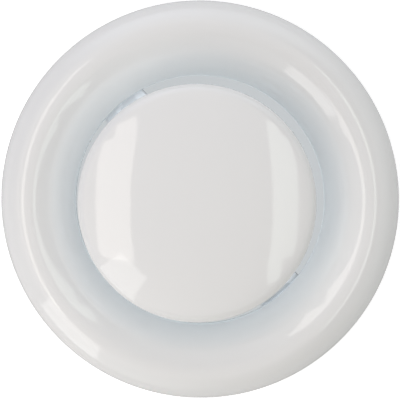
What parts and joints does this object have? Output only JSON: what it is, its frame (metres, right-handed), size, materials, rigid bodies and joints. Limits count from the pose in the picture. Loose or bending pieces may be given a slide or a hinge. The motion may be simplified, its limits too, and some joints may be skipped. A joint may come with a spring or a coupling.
{
  "type": "round air outlet",
  "caption": "Round ventilation disc valve: a white pressed ring with a domed centre disc on a threaded spindle, bayonet-mounted in a steel duct sleeve with a lip seal.",
  "frame": {"origin": "centre of the mounting sleeve's rear end, on the surface it stands on", "axes": "+Z along the duct axis towards the room, +X along the bridge"},
  "size_m": [0.164, 0.164, 0.09],
  "materials": {
    "enamel": "gloss white powder coat",
    "galvanised": "galvanised sheet",
    "zinc": "bright zinc plate",
    "foam": "closed-cell foam",
    "rubber": "moulded rubber"
  },
  "bodies": {
    "sleeve": {"mounting_sleeve": "galvanised", "duct_seal": "rubber"},
    "valve": {"front_ring": "enamel", "neck": "enamel", "gasket": "foam", "bridge": "galvanised", "bridge_nut": "zinc", "bridge_rivet_1": "zinc", "bridge_rivet_2": "zinc", "bridge_rivet_3": "zinc", "bridge_rivet_4": "zinc", "bayonet_pin_1": "zinc", "bayonet_pin_2": "zinc", "bayonet_pin_3": "zinc", "lock_washer": "zinc"},
    "spindle": {"spindle": "zinc"},
    "disc": {"disc": "enamel", "disc_stiffener": "galvanised", "disc_nut": "zinc"},
    "lock_nut": {"lock_nut": "zinc"}
  },
  "joints": [
    {"name": "ring_twist", "type": "hinge", "parent": "sleeve", "child": "valve", "pos_m": [0, 0, 0.055], "axis": [0, 0, 1], "range_deg": [0, 20]},
    {"name": "disc_travel", "type": "slide", "parent": "valve", "child": "spindle", "axis": [0, 0, 1], "range_m": [-0.02, 0.006]},
    {"name": "disc_turn", "type": "hinge", "parent": "spindle", "child": "disc", "pos_m": [0, 0, 0.077], "axis": [0, 0, 1], "range_deg": [-5760, 1728]},
    {"name": "lock_nut_turn", "type": "hinge", "parent": "valve", "child": "lock_nut", "pos_m": [0, 0, 0.036], "axis": [0, 0, 1], "range_deg": [-90, 0]}
  ],
  "couplings": [
    {"joint": "disc_travel", "follows": "disc_turn", "m_per_rad": 0.00019894}
  ]
}
